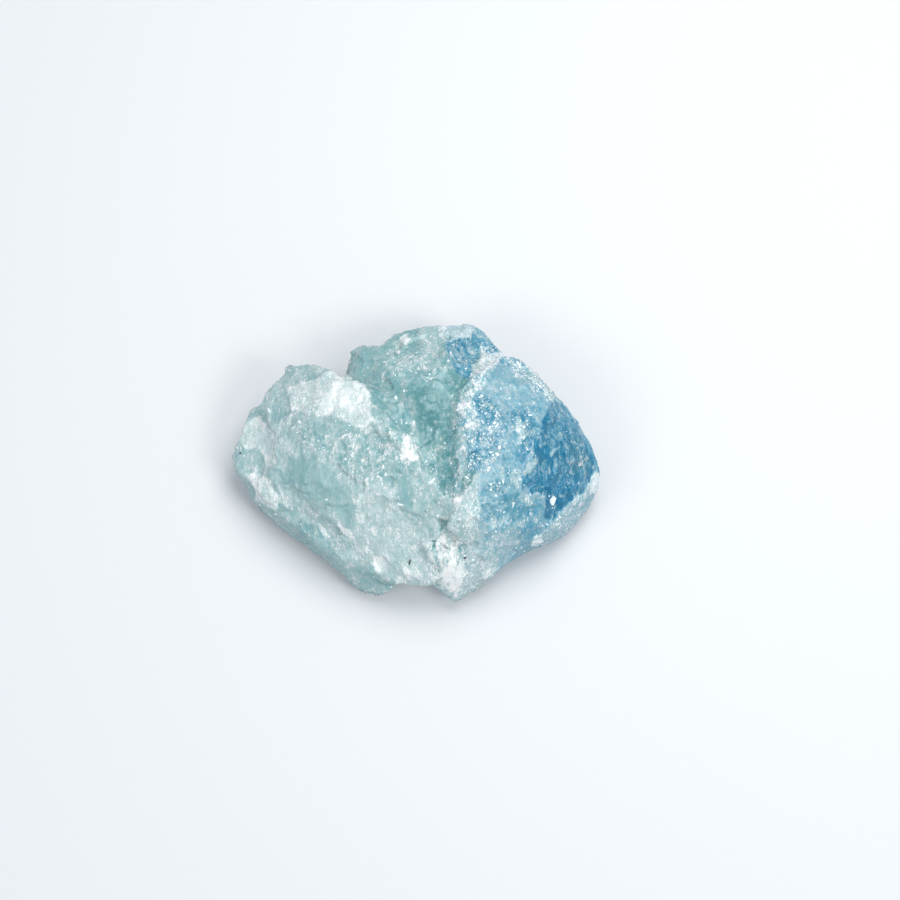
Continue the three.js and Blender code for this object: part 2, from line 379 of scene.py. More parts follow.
            (-9.4, 12.4), (-9.0, 12.2), (-8.5, 11.1), (-7.3, 11.2), (-6.9, 11.0), (-6.4, 10.2),
            (-6.0, 9.9), (-5.8, 9.2), (-6.0, 8.6), (-6.3, 8.1), (-6.2, 7.6), (-5.6, 7.0), (-5.2, 6.3),
            (-6.3, 5.6), (-7.1, 5.3), (-7.9, 6.0), (-9.9, 6.6), (-10.2, 7.2), (-11.4, 6.8),
            (-11.9, 7.4), (-12.7, 6.9), (-13.5, 7.2), (-14.6, 7.4), (-15.0, 8.5)],
        "rim": 0.7, "edge": 0.35, "ragged": 0.35, "tone": 0.92, "mottle": 0.48,
        "flecks": 0.14, "lift": 0.12,
    },
    "cream core": {
        "outline": [(-12.2, 9.4), (-10.2, 9.9), (-9.8, 11.0), (-8.6, 10.9), (-7.0, 10.8), (-6.2, 9.7),
            (-6.1, 8.4), (-6.0, 7.4), (-7.0, 7.2), (-8.5, 7.8), (-10.0, 7.4), (-11.6, 7.4),
            (-11.4, 8.6)],
        "edge": 1.0, "ragged": 0.7, "tone": 1.4, "mottle": 0.45, "flecks": 0.2,
    },
    "cream notch": {
        "outline": [(-12.8, 5.4), (-11.4, 6.3), (-10.6, 6.9), (-10.1, 7.3), (-9.9, 6.7), (-7.8, 6.0),
            (-7.0, 5.4), (-7.4, 4.9), (-9.0, 4.8), (-11.0, 5.0)],
        "edge": 0.35, "ragged": 0.3, "tone": 0.04, "mottle": 0.4, "flecks": 0.04,
    },
    "left ledge": {
        "outline": [(-19.3, 6.6), (-18.4, 6.7), (-18.2, 6.2), (-17.6, 5.8), (-17.0, 5.0), (-16.5, 4.0),
            (-16.7, 3.6), (-16.7, 2.4), (-16.3, 1.7), (-16.7, 0.5), (-17.6, 1.0), (-17.9, 2.1),
            (-18.6, 3.0), (-20.0, 3.1), (-20.6, 4.2), (-20.0, 5.8)],
        "rim": 0.7, "edge": 0.2, "ragged": 0.25, "tone": 1.0, "mottle": 0.45,
        "flecks": 0.05, "lift": -0.16,
    },
    "left cheek": {
        "outline": [(-21.4, 2.2), (-20.8, 3.2), (-20.0, 3.1), (-18.6, 3.0), (-17.9, 2.1), (-17.6, 1.0),
            (-18.0, 0.1), (-19.2, 0.0), (-20.2, 0.4), (-21.0, 1.2)],
        "edge": 0.25, "ragged": 0.3, "tone": 0.24, "mottle": 0.5, "flecks": 0.04, "lift": -0.08,
    },
    "lower left flat": {
        "outline": [(-20.0, -0.1), (-18.6, 0.0), (-18.0, -0.2), (-17.2, -1.2), (-16.7, -2.0),
            (-15.8, -2.6), (-15.9, -3.3), (-16.2, -3.5), (-16.3, -4.1), (-16.8, -4.2), (-17.9, -3.7),
            (-18.8, -3.3), (-18.9, -1.4), (-19.5, -0.9)],
        "rim": 0.6, "edge": 0.15, "ragged": 0.2, "tone": 0.95, "mottle": 0.5,
        "flecks": 0.06, "lift": 0.06,
    },
    "teal window": {
        "outline": [(-15.0, 2.2), (-14.3, 1.8), (-13.3, 2.2), (-12.2, 2.0), (-11.4, 1.5), (-10.6, 0.6),
            (-10.0, -0.3), (-9.4, -1.0), (-8.4, -2.0), (-7.8, -3.0), (-7.2, -4.2), (-7.1, -5.6),
            (-7.2, -7.8), (-7.9, -6.5), (-8.7, -6.0), (-9.4, -5.0), (-10.8, -4.6), (-12.4, -3.8),
            (-13.8, -3.0), (-15.6, -1.8), (-16.6, -0.8), (-17.4, -0.2), (-16.3, 0.5), (-15.2, 0.6)],
        "edge": 0.8, "ragged": 0.5, "tone": 0.04, "mottle": 0.28, "flecks": 0.02,
    },
    "window depth": {
        "outline": [(-14.6, 1.6), (-12.6, 1.7), (-11.0, 0.6), (-9.9, -0.6), (-8.4, -2.4), (-7.6, -4.4),
            (-7.6, -6.0), (-9.0, -5.0), (-9.8, -3.4), (-12.0, -2.4), (-14.0, -1.6), (-15.4, -0.4)],
        "edge": 1.6, "ragged": 0.6, "tone": -0.12, "mottle": 0.22, "flecks": 0.01,
    },
    "pale apron": {
        "outline": [(-7.1, -2.8), (-5.6, -1.4), (-3.4, -1.8), (-2.8, -3.8), (-1.4, -5.0), (0.3, -6.2),
            (1.2, -8.0), (1.2, -10.2), (1.5, -13.0), (-1.4, -13.4), (-3.5, -12.2), (-5.6, -10.4),
            (-7.6, -9.6)],
        "rim": 0.5, "edge": 0.6, "ragged": 0.6, "tone": 0.6, "mottle": 0.45, "flecks": 0.07,
    },
    "front wall": {
        "outline": [(-19.7, -0.7), (-19.0, -1.4), (-18.9, -3.2), (-18.2, -3.4), (-17.0, -4.1),
            (-16.3, -4.2), (-16.2, -3.6), (-15.7, -3.3), (-15.2, -4.0), (-13.9, -5.0), (-13.0, -5.4),
            (-12.0, -5.9), (-11.5, -6.5), (-11.1, -7.4), (-10.2, -8.0), (-9.9, -9.3), (-9.3, -9.8),
            (-8.4, -10.6), (-8.8, -13.0), (-16.0, -8.0), (-21.0, -3.5)],
        "edge": 0.18, "ragged": 0.25, "tone": 0.08, "mottle": 0.5, "flecks": 0.04,
    },
    "wall shades": {
        "outline": [(-14.4, -5.8), (-13.6, -5.6), (-12.2, -6.0), (-11.7, -6.4), (-11.2, -7.6),
            (-12.6, -7.4), (-13.8, -7.2)],
        "edge": 0.5, "ragged": 0.4, "tone": -0.28, "mottle": 0.5,
    },
    "front sliver": {
        "outline": [(-11.9, -5.7), (-11.4, -5.9), (-10.8, -6.8), (-10.4, -7.5), (-10.9, -7.4),
            (-11.4, -6.9), (-11.6, -6.2)],
        "edge": 0.1, "ragged": 0.12, "tone": 1.35, "mottle": 0.4, "lift": 0.05,
    },
    "second sliver": {
        "outline": [(-9.6, -5.4), (-8.7, -6.3), (-8.0, -6.5), (-7.6, -7.3), (-7.2, -8.4), (-7.6, -8.2),
            (-8.3, -7.3), (-8.8, -6.9), (-9.3, -6.2)],
        "edge": 0.1, "ragged": 0.12, "tone": 1.2, "mottle": 0.6, "lift": 0.06,
    },
    "nub": {
        "outline": [(-8.8, -11.0), (-7.0, -11.0), (-6.2, -10.6), (-5.6, -10.9), (-4.9, -11.9),
            (-4.0, -12.4), (-3.0, -12.6), (-2.2, -13.4), (-5.3, -15.5), (-8.8, -14.0)],
        "rim": 0.7, "edge": 0.2, "ragged": 0.2, "tone": 0.05, "mottle": 0.55, "flecks": 0.03,
    },
    "oval scar": {
        "outline": [(-5.5, -10.3), (-5.0, -9.8), (-4.3, -9.9), (-3.8, -10.5), (-3.5, -11.2),
            (-4.2, -11.8), (-5.2, -11.6)],
        "rim": 0.5, "edge": 0.25, "ragged": 0.15, "tone": 1.35, "mottle": 0.7, "lift": -0.10,
    },
    "apron rim": {
        "outline": [(-2.2, -10.8), (-0.6, -10.6), (0.4, -12.0), (-0.2, -12.7), (-1.8, -12.4)],
        "edge": 0.6, "ragged": 0.5, "tone": 0.98, "mottle": 0.6, "flecks": 0.1,
    },
    "burst": {
        "outline": [(-1.9, 2.4), (-1.4, 3.5), (-1.7, 4.1), (-0.9, 4.4), (0.1, 4.2), (0.2, 3.0),
            (-0.1, 2.0), (-0.5, 1.3), (-1.1, 1.9)],
        "edge": 0.5, "ragged": 0.6, "tone": 1.0, "mottle": 1.1, "flecks": 0.38,
    },
    "vein foot": {
        "outline": [(3.8, -2.9), (4.6, -2.4), (4.9, -1.9), (5.9, -1.3), (6.2, -2.3), (6.8, -3.1),
            (7.0, -4.4), (7.1, -5.3), (6.8, -6.6), (6.3, -7.4), (5.2, -7.9), (3.8, -7.9), (3.1, -7.0),
            (3.4, -6.0), (4.1, -4.9), (4.0, -3.8)],
        "edge": 0.45, "ragged": 0.45, "tone": 0.45, "mottle": 0.6, "flecks": 0.10, "lift": 0.06,
    },
    "foot crest": {
        "outline": [(3.8, -2.9), (4.7, -2.4), (5.0, -3.0), (4.6, -3.8), (4.1, -4.1)],
        "edge": 0.3, "ragged": 0.3, "tone": 1.5, "mottle": 0.8,
    },
    "tip wedge": {
        "outline": [(1.0, -7.8), (2.2, -7.3), (3.1, -6.9), (3.9, -7.9), (5.2, -8.8), (5.4, -10.4),
            (5.4, -12.2), (4.6, -14.6), (3.4, -14.4), (2.4, -13.4), (1.0, -12.9), (1.1, -10.0)],
        "edge": 0.4, "ragged": 0.5, "tone": 0.85, "mottle": 1.1, "flecks": 0.16,
    },
    "tip core": {
        "outline": [(3.1, -10.3), (4.2, -10.0), (4.9, -11.2), (5.3, -12.0), (4.6, -13.4), (3.9, -14.1),
            (3.3, -13.4), (2.5, -12.9), (1.8, -12.6), (2.5, -11.6)],
        "edge": 0.5, "ragged": 0.6, "tone": 1.75, "mottle": 1.1, "flecks": 0.3,
    },
    # painted shade in the recess of this notch, a darker tone on top of the lowered surface
    "shaded notch": {
        "outline": [(2.0, -5.4), (3.4, -5.5), (3.0, -6.3), (2.4, -7.0), (2.1, -6.6), (2.05, -6.0)],
        "edge": 0.2, "ragged": 0.1, "tone": -0.6, "lift": -0.3, "mottle": 0.6,
    },
    # painted shade in the recess of this slot, a darker tone on top of the lowered surface
    "shaded slot": {
        "outline": [(1.3, -8.0), (1.9, -8.1), (1.9, -9.0), (1.5, -8.9)],
        "edge": 0.15, "ragged": 0.1, "tone": -1.0, "lift": -0.2, "mottle": 0.4,
    },
    "tip gap": {
        "outline": [(4.3, -8.1), (5.1, -7.9), (5.4, -8.7), (5.3, -9.6), (4.6, -9.1)],
        "edge": 0.25, "ragged": 0.3, "tone": 0.0, "lift": -0.12, "mottle": 0.8,
    },
    "pale shoulder": {
        "outline": [(8.2, 12.2), (10.2, 13.6), (12.4, 12.0), (13.0, 9.4), (11.6, 7.8), (9.8, 8.8),
            (7.8, 9.4), (7.4, 10.6)],
        "edge": 1.4, "ragged": 0.8, "tone": 0.1, "blue": 0.72, "mottle": 0.4, "flecks": 0.03,
    },
    "blue slope": {
        "outline": [(12.0, -0.4), (13.6, 0.6), (14.4, 2.4), (14.2, 5.0), (13.6, 5.4), (12.6, 4.0),
            (12.0, 2.0), (11.6, 0.4)],
        "edge": 1.4, "ragged": 0.8, "tone": -0.4, "blue": 0.9, "mottle": 0.8, "flecks": 0.08,
    },
    "blue facet": {
        "outline": [(15.6, 9.0), (14.9, 7.8), (14.3, 6.6), (13.9, 5.2), (13.5, 4.0), (12.9, 3.0),
            (13.0, 1.9), (12.9, 0.8), (12.4, -0.2), (12.0, -1.6), (12.8, -2.4), (14.5, -2.6),
            (14.7, -4.2), (14.9, -5.7), (15.6, -5.3), (16.3, -4.5), (17.4, -3.3), (18.4, -2.5),
            (19.1, -2.0), (20.0, -0.6), (20.9, 0.4), (21.0, 1.4), (19.6, 4.4), (18.3, 6.8),
            (16.9, 8.4)],
        "rim": 0.6, "edge": 0.5, "ragged": 0.45, "tone": -0.86, "blue": 1.0,
        "mottle": 0.74, "flecks": 0.02, "lift": -0.10,
    },
    "facet shoulder": {
        "outline": [(15.7, 8.2), (17.4, 7.2), (18.1, 5.6), (17.8, 4.6), (16.6, 3.8), (15.4, 4.2),
            (15.5, 6.2), (16.0, 7.2)],
        "rim": 0.5, "edge": 0.9, "ragged": 0.7, "tone": -0.55, "blue": 0.86,
        "mottle": 0.75, "flecks": 0.02,
    },
    "blue core": {
        "outline": [(15.0, 8.1), (14.5, 6.9), (14.2, 5.0), (14.0, 3.4), (13.9, 1.9), (13.5, 0.9),
            (14.2, -0.1), (14.8, -1.6), (14.7, -3.2), (14.9, -5.4), (15.5, -5.2), (16.3, -4.5),
            (17.3, -3.4), (17.0, -1.0), (16.8, 1.5), (16.6, 3.4), (15.8, 3.0), (15.2, 4.4), (15.3, 6.0),
            (15.8, 7.2)],
        "edge": 0.6, "ragged": 0.6, "tone": -1.05, "blue": 1.0, "mottle": 0.75, "flecks": 0.01,
    },
    "core veil": {
        "outline": [(15.1, 1.9), (15.2, 2.5), (15.8, 3.1), (16.4, 3.4), (16.1, 2.7), (15.6, 2.2)],
        "edge": 0.2, "ragged": 0.15, "tone": 0.3, "blue": 0.85, "mottle": 0.7,
    },
    "lower veil": {
        "outline": [(15.8, 1.7), (16.2, 1.9), (16.1, 0.3), (15.9, -0.4), (15.5, 0.3)],
        "edge": 0.25, "ragged": 0.2, "tone": -0.05, "blue": 0.9, "mottle": 0.6,
    },
    "grey blue sheen": {
        "outline": [(17.0, 4.2), (18.2, 5.2), (19.1, 4.0), (20.3, 1.6), (20.4, 0.4), (19.4, -0.2),
            (17.8, 0.2), (17.0, 1.6)],
        "edge": 0.7, "ragged": 0.6, "tone": -0.85, "blue": 0.75, "mottle": 0.95, "flecks": 0.04,
    },
    # a thin dark line along the right rim where the surface turns steep: painted shade
    "shaded facet rim": {
        "outline": [(17.6, 6.9), (18.2, 5.8), (19.3, 3.7), (20.35, 1.5), (20.5, 0.8), (20.3, 0.1),
            (21.2, 0.2), (21.4, 1.6), (19.8, 4.6), (18.4, 7.2)],
        "edge": 0.15, "ragged": 0.1, "tone": -0.5, "blue": 0.85, "mottle": 0.4,
    },
    "blue foot": {
        "outline": [(11.9, -3.9), (13.6, -3.6), (14.8, -4.8), (14.8, -6.2), (13.9, -7.8), (12.2, -8.2),
            (11.5, -5.5)],
        "edge": 0.9, "ragged": 0.7, "tone": -0.2, "blue": 0.85, "mottle": 0.5, "flecks": 0.06,
    },
    "pale wall": {
        "outline": [(20.5, 0.2), (21.6, -0.4), (21.4, -2.0), (20.4, -4.4), (18.4, -7.0), (16.0, -8.6),
            (13.8, -9.4), (12.6, -8.8), (13.9, -7.3), (15.0, -6.0), (15.6, -5.4), (16.4, -4.6),
            (17.4, -3.4), (18.4, -2.6), (19.2, -2.0), (20.0, -0.7)],
        "rim": 0.6, "edge": 0.2, "ragged": 0.2, "tone": 0.22, "blue": 0.62,
        "mottle": 0.65, "flecks": 0.08,
    },
    "wall crest": {
        "outline": [(20.5, 0.2), (21.4, -0.5), (21.2, -2.3), (20.4, -2.8), (19.6, -2.2), (20.0, -1.0)],
        "edge": 0.4, "ragged": 0.3, "tone": 1.15, "blue": 0.4, "mottle": 0.5,
    },
    "upper flake": {
        "outline": [(11.2, 6.9), (11.7, 7.1), (11.9, 6.1), (12.4, 6.6), (12.6, 6.1), (12.0, 5.4),
            (12.1, 4.2), (11.6, 3.5), (11.2, 3.4), (11.4, 4.6), (11.1, 5.3)],
        "edge": 0.2, "ragged": 0.2, "tone": 0.5, "blue": 0.5, "mottle": 0.8,
        "flecks": 0.2, "lift": 0.06,
    },
    "middle flake": {
        "outline": [(12.0, 0.1), (12.2, 0.9), (12.7, 1.6), (13.4, 1.9), (13.6, 1.6), (13.4, 0.9),
            (13.0, 0.1), (12.4, 0.0)],
        "edge": 0.12, "ragged": 0.12, "tone": -0.25, "blue": 0.4, "mottle": 0.6,
        "flecks": 0.1, "lift": 0.07,
    },
    "lower flake": {
        "outline": [(10.4, 0.0), (11.0, 0.3), (11.7, 0.0), (11.8, -0.9), (11.3, -1.6), (10.7, -1.4),
            (10.3, -0.8)],
        "edge": 0.2, "ragged": 0.2, "tone": 0.25, "blue": 0.4, "mottle": 0.7,
        "flecks": 0.1, "lift": 0.05,
    },
    "small flake": {
        "outline": [(12.4, -2.4), (12.8, -2.3), (13.0, -3.4), (12.8, -3.9), (12.3, -3.8), (12.2, -3.0)],
        "edge": 0.2, "ragged": 0.2, "tone": 0.3, "blue": 0.5, "mottle": 0.8,
        "flecks": 0.15, "lift": 0.04,
    },
    "white oval": {
        "outline": [(13.0, -7.5), (13.9, -7.2), (14.2, -7.9), (13.6, -8.6), (12.8, -8.6)],
        "edge": 0.2, "ragged": 0.15, "tone": 1.15, "mottle": 0.8, "flecks": 0.2, "lift": 0.06,
    },
    "rim crumbs": {
        "outline": [(10.2, 14.4), (12.4, 13.2), (14.2, 11.6), (16.2, 9.4), (15.0, 8.9), (13.4, 10.0),
            (12.0, 11.8), (10.0, 12.8)],
        "edge": 0.5, "ragged": 0.7, "tone": 0.3, "blue": 0.65, "mottle": 0.9, "flecks": 0.28,
    },
    "foot slope": {
        "outline": [(6.0, -5.4), (9.4, -5.6), (11.4, -6.8), (12.0, -9.4), (9.6, -11.8), (8.0, -10.2),
            (6.2, -8.0)],
        "edge": 1.8, "ragged": 1.0, "tone": 0.2, "mottle": 0.55, "flecks": 0.08,
    },
    "lee of the burst": {
        "outline": [(-0.4, 4.2), (0.8, 4.0), (1.6, 2.6), (1.2, 1.4), (0.2, 1.6), (-0.3, 2.8)],
        "edge": 1.0, "ragged": 0.7, "tone": -0.45, "mottle": 0.7, "flecks": 0.1,
    },
    "clear hollow": {
        "outline": [(-1.0, 10.2), (1.2, 10.6), (2.9, 9.8), (3.3, 7.2), (2.9, 5.0), (2.2, 3.4),
            (0.9, 3.0), (0.3, 4.2), (-0.6, 6.4)],
        "edge": 1.6, "ragged": 0.9, "tone": -1.0, "mottle": 0.45, "flecks": 0.05,
    },
    "groove wall": {
        "outline": [(3.7, 6.4), (4.7, 6.6), (5.0, 3.4), (4.9, 0.2), (4.6, -2.2), (3.8, -2.0),
            (3.9, 1.0), (3.7, 3.6)],
        "edge": 1.3, "ragged": 0.9, "tone": 0.3, "blue": 0.3, "mottle": 0.85, "flecks": 0.12,
    },
}

skinDefaults = {"tone": 0.2, "blue": 0.0, "mottle": 0.55, "flecks": 0.06, "lift": 0.0}


def fanCoordinates(points):
    # streaks follow the fan of fractures: distance round it, distance out from its foot, height
    away = points[:, :2] - np.array(fanFoot)
    reach = np.linalg.norm(away, axis=1)
    angle = np.arctan2(away[:, 0], away[:, 1])
    return np.stack([angle * (4 + 0.75 * reach), reach, points[:, 2]], 1)


turnedSides = {
    "begin": (0.12, -0.14),  # how far a face has turned away from the prism axis
    "tone": 0.46,
    "toneRange": 0.75,
    "patch": 3.6,            # size of the cloudy and clear patches
    "blueFrom": (5.0, 13.0), # across, where teal gives way to blue
    "mottle": 0.75,
    "flecks": 0.09,
}


def layZones(points, normals):
    # every zone in turn overrides what lies under it; returns one field per property
    plan = planOf(points)
    fan = fanCoordinates(points) * (1.0, 0.45, 0.8)
    wander = np.stack([noiseField(fan, 1.5, 3, 4) + 0.5 * noiseField(fan, 0.5, 7, 3),
                       noiseField(fan, 1.5, 4, 4) + 0.5 * noiseField(fan, 0.5, 8, 3)], 1)
    fields = {name: np.full(len(points), value) for name, value in skinDefaults.items()}
    for zone in zones.values():
        depth = insideBy(plan + zone["ragged"] * wander, zone["outline"])
        cover = smoothStep(-zone["edge"] / 2, zone["edge"] / 2, depth)
        for name in fields:
            if name in zone:
                fields[name] += cover * (zone[name] - fields[name])
        # a thin paler lip just inside each zone's border: painted highlight along the edge
        rim = np.exp(-((depth - 0.06) / 0.13) ** 2) * smoothStep(-0.25, 0.35, noiseField(fan, 1.1, 41, 3))
        fields["tone"] += zone.get("rim", 0.0) * rim
    # faces turned away from the axis cut deeper growth, with patches of their own
    turned = smoothStep(*turnedSides["begin"], normals @ prismAxis)
    cloud = noiseField(fan, turnedSides["patch"], 31, 4)
    across = points[:, 0] + 2.5 * noiseField(fan, turnedSides["patch"], 32, 3)
    deeper = {
        "tone": turnedSides["tone"] + turnedSides["toneRange"] * cloud,
        "blue": 0.9 * smoothStep(*turnedSides["blueFrom"], across),
        "mottle": turnedSides["mottle"],
        "flecks": turnedSides["flecks"] + 0.2 * np.maximum(cloud, 0),
        "lift": 0.0,
    }
    for name in fields:
        fields[name] += turned * (deeper[name] - fields[name])
    fields["turned"] = turned
    return fields


skin = layZones(readPoints(stone.data), readNormals(stone.data))
print("zones laid")


def scallopField(points, across, depth, tilt, seed):
    # shell-shaped fracture faces: shallow tipped bowls that meet in sharp ridges
    shift = Vector((seed * 3.7, seed * 9.1, seed * 1.9))
    half = Vector((0.5, 0.5, 0.5))
    rise = np.empty(len(points))
    for i, p in enumerate(points):
        place = Vector(p) / across + shift
        bowls = []
        for reach, heart in zip(*noise.voronoi(place)):
            lean = noise.cell_vector(heart * 31.0) - half
            bowls.append(depth * reach * reach + 2 * tilt * (place - heart).dot(lean))
        rise[i] = min(bowls)
    return (rise - rise.mean()) * across


def scarField(points, normals, count, radii, depthShare, seed):
    # shallow flake scars: a sharp scarp on one side that runs out to nothing on the other
    pick = random.Random(seed)
    rise = np.zeros(len(points))
    ragged = noiseField(points, 0.9, seed, 3)
    small, large = radii
    for scar in range(count):
        centre = pick.randrange(len(points))
        radius = small * (large / small) ** (pick.random() ** 1.6)
        outward = normals[centre]
        spread = Vector((points[centre][0], points[centre][1])) - fanFoot
        along = np.array([spread.x, spread.y, 0]) / max(spread.length, 1e-6)
        turn = pick.gauss(0, 0.7)
        along = along * math.cos(turn) + np.cross(outward, along) * math.sin(turn)
        along -= outward * (along @ outward)
        along /= max(np.linalg.norm(along), 1e-6)
        across = np.cross(outward, along)
        offset = points - points[centre]
        a, b, c = offset @ along / 1.5, offset @ across, offset @ outward
        reach = np.sqrt(a * a + b * b + 1.5 * c * c) / radius + 0.28 * ragged
        cover = smoothStep(1.0, 0.90, reach)
        ramp = np.clip(0.5 + 0.5 * a / radius, 0, 1)
        rise -= cover * ramp * radius * depthShare * pick.uniform(0.5, 1.3)
    return rise


def breakUp(mesh):
    points, normals = readPoints(mesh), readNormals(mesh)
    size, height = stoneForm["swell"]
    rise = height * noiseField(points, size, 1, 2)
    size, height = stoneForm["unevenness"]
    rise += height * noiseField(points, size, 2, 4) * (0.4 + skin["mottle"])
    for seed, (across, depth, tilt) in enumerate(stoneForm["scallops"]):
        rise += scallopField(points, across, depth, tilt, seed + 1) * (0.35 + 0.9 * skin["mottle"])
    rise += scarField(points, normals, stoneForm["flakeScars"], stoneForm["scarRadius"],
                      stoneForm["scarDepth"], 5) * (0.45 + 0.8 * skin["mottle"])
    crumble = noiseField(points, 0.55, 6, 3)
    rise += stoneForm["crumble"] * crumble * smoothStep(0.05, 0.35, skin["flecks"])
    rise *= 1 - stoneForm["wallCalm"] * smoothStep(0.45, 0.1, normals[:, 2]) * (1 - skin["turned"])
    rise *= 1 + (stoneForm["turnedRelief"] - 1) * skin["turned"]
    rise += skin["lift"]
    rise *= smoothStep(0.0, stoneForm["restingBand"], points[:, 2])
    points += normals * rise[:, None]
    points[:, 2] = np.maximum(points[:, 2], 0)
    writePoints(mesh, points)


breakUp(stone.data)
print("fracture relief done")


def edgeSharpness(mesh):
    # above 0 on ridges and below 0 in creases
    points, normals, edges = readPoints(mesh), readNormals(mesh), readEdges(mesh)
    bend = np.einsum("ij,ij->i", points - neighbourMean(points, edges), normals)[:, None]
    for step in range(2):
        bend = 0.5 * bend + 0.5 * neighbourMean(bend, edges)
    return np.clip(bend[:, 0] / 0.05, -1, 1)


def carry(mesh, name, values):
    kind = "FLOAT" if values.ndim == 1 else "FLOAT_VECTOR"
    attribute = mesh.attributes.new(name, kind, "POINT")
    attribute.data.foreach_set("value" if values.ndim == 1 else "vector", values.astype(np.float32).ravel())


# steep walls and faces seen edge-on are painted darker: painted shade along the walls and silhouette rims,
# spared where the tone is chalk white
paintedWallShade = smoothStep(0.45, 0.05, readNormals(stone.data)[:, 2])
paintedRimShade = smoothStep(0.2, -0.1, readNormals(stone.data)[:, 2])
carry(stone.data, "tone", skin["tone"] - (0.3 * paintedWallShade + 0.35 * paintedRimShade) * smoothStep(1.3, 0.7, skin["tone"]))
for name in ("blue", "mottle", "flecks"):
    carry(stone.data, name, skin[name])
carry(stone.data, "ridge", edgeSharpness(stone.data))
carry(stone.data, "fan", fanCoordinates(readPoints(stone.data)))


class NodeBench:
    # a material's node tree, with short ways to add and join nodes

    def __init__(self, name):
        self.material = bpy.data.materials.new(name)
        self.material.use_nodes = True
        self.tree = self.material.node_tree
        self.tree.nodes.clear()

    def add(self, kind, sockets=None, settings=None):
        node = self.tree.nodes.new(kind)
        for name, value in (settings or {}).items():
            setattr(node, name, value)
        for name, value in (sockets or {}).items():
            self.feed(node.inputs[name], value)
        return node

    def feed(self, socket, value):
        if isinstance(value, bpy.types.NodeSocket):
            self.tree.links.new(value, socket)
        elif value is not None:
            socket.default_value = value

    def maths(self, operation, a, b=None, c=None, clamp=False):
        node = self.add("ShaderNodeMath", None, {"operation": operation, "use_clamp": clamp})
        for socket, value in zip(node.inputs, (a, b, c)):
            self.feed(socket, value)
        return node.outputs[0]

    def mixColour(self, share, a, b):
        node = self.add("ShaderNodeMix", None, {"data_type": "RGBA"})
        for index, value in ((0, share), (6, a), (7, b)):
            self.feed(node.inputs[index], value)
        return node.outputs[2]

    def attribute(self, name, output="Fac"):
        return self.add("ShaderNodeAttribute", None, {"attribute_name": name}).outputs[output]

    def noise(self, size, place, detail=3, roughness=0.5, distortion=0.0):
        # sizes are in mm, and object coordinates are metres
        scale = 1 / (size * mm) if place.node.type == "TEX_COORD" else 1 / size
        node = self.add("ShaderNodeTexNoise", {"Vector": place, "Scale": scale, "Detail": detail,
                                               "Roughness": roughness, "Distortion": distortion})
        return self.maths("MULTIPLY_ADD", node.outputs[0], 2.0, -1.0)

    def warped(self, place, size, amount):
        # a place in mm, pushed about by noise so that cells get ragged outlines
        push = self.add("ShaderNodeTexNoise", {"Vector": place, "Scale": 1 / size, "Detail": 2})
        node = self.add("ShaderNodeVectorMath", None, {"operation": "MULTIPLY_ADD"})
        self.feed(node.inputs[0], push.outputs["Color"])
        node.inputs[1].default_value = (amount,) * 3
        self.feed(node.inputs[2], place)
        return node.outputs[0]

    def strokes(self, size, place, width, reach):
        # short thin curved lines: where one noise crosses zero, kept to the places where another is high
        crossing = self.maths("ABSOLUTE", self.noise(size, place, 2, 0.5, 0.7))
        line = self.maths("MULTIPLY_ADD", crossing, -1 / width, 1.0, clamp=True)
        run = self.maths("MULTIPLY_ADD", self.noise(size * 1.9, place, 2), 5.0, reach, clamp=True)
        return self.maths("MULTIPLY", line, run)

    def cellLot(self, size, place, shift=0.0):
        # a number from -1 to 1 for each cell of the given size
        moved = self.add("ShaderNodeVectorMath", None, {"operation": "ADD"})
        self.feed(moved.inputs[0], place)
        moved.inputs[1].default_value = (shift,) * 3
        cells = self.add("ShaderNodeTexVoronoi", {"Vector": moved.outputs[0], "Scale": 1 / size})
        lot = self.add("ShaderNodeSeparateColor", {"Color": cells.outputs["Color"]}).outputs[0]
        return self.maths("MULTIPLY_ADD", lot, 2.0, -1.0)

    def bump(self, height, strength, distance):
        node = self.add("ShaderNodeBump", {"Height": height, "Strength": strength, "Distance": distance * mm})
        return node.outputs[0]

    def finish(self, surface, volume=None):
        out = self.add("ShaderNodeOutputMaterial")
        self.feed(out.inputs["Surface"], surface.outputs[0])
        if volume:
            self.feed(out.inputs["Volume"], volume.outputs[0])
        return self.material

    def ramp(self, share, stops):
        node = self.add("ShaderNodeValToRGB", {"Fac": share})
        elements = node.color_ramp.elements
        while len(elements) < len(stops):
            elements.new(0.5)
        for element, (position, colour) in zip(elements, stops):
            element.position = position
            element.color = colour
        return node.outputs["Color"]


beryl = {
    # colour from deep and clear to chalk white, in even steps
    "teal": ["61a6aa", "7eb7ba", "9ac3c5", "b4cfcf", "c9dbdb", "e0e9e8", "f8faf8"],
    "blue": ["0680aa", "2b99c0", "74b3ca", "a2c7d4", "bad3dc", "d9e7ec", "f8fcfd"],
    "roughness": [0.10, 0.12, 0.16, 0.20, 0.26, 0.38, 0.5],
    "clearness": [0.36, 0.30, 0.22, 0.16, 0.10, 0.04, 0.0],
    "ior": 1.577,
    "absorption": "a9dce4",
    "absorptionDensity": 30,
    "bumpHeight": 0.07,
    "bumpStrength": 0.48,
    # size of the curves the lips follow, how far each runs on, how much paler or deeper it is; the lips are
    # painted highlight and painted shade of small breaks
    "lips": [(0.8, 0.1, 1.2), (0.45, 0.0, 1.5)],
}


def greyStops(values):
    return [(i / (len(values) - 1), (v, v, v, 1)) for i, v in enumerate(values)]


def colourStops(codes):
    return [(i / (len(codes) - 1), hexColour(code)) for i, code in enumerate(codes)]


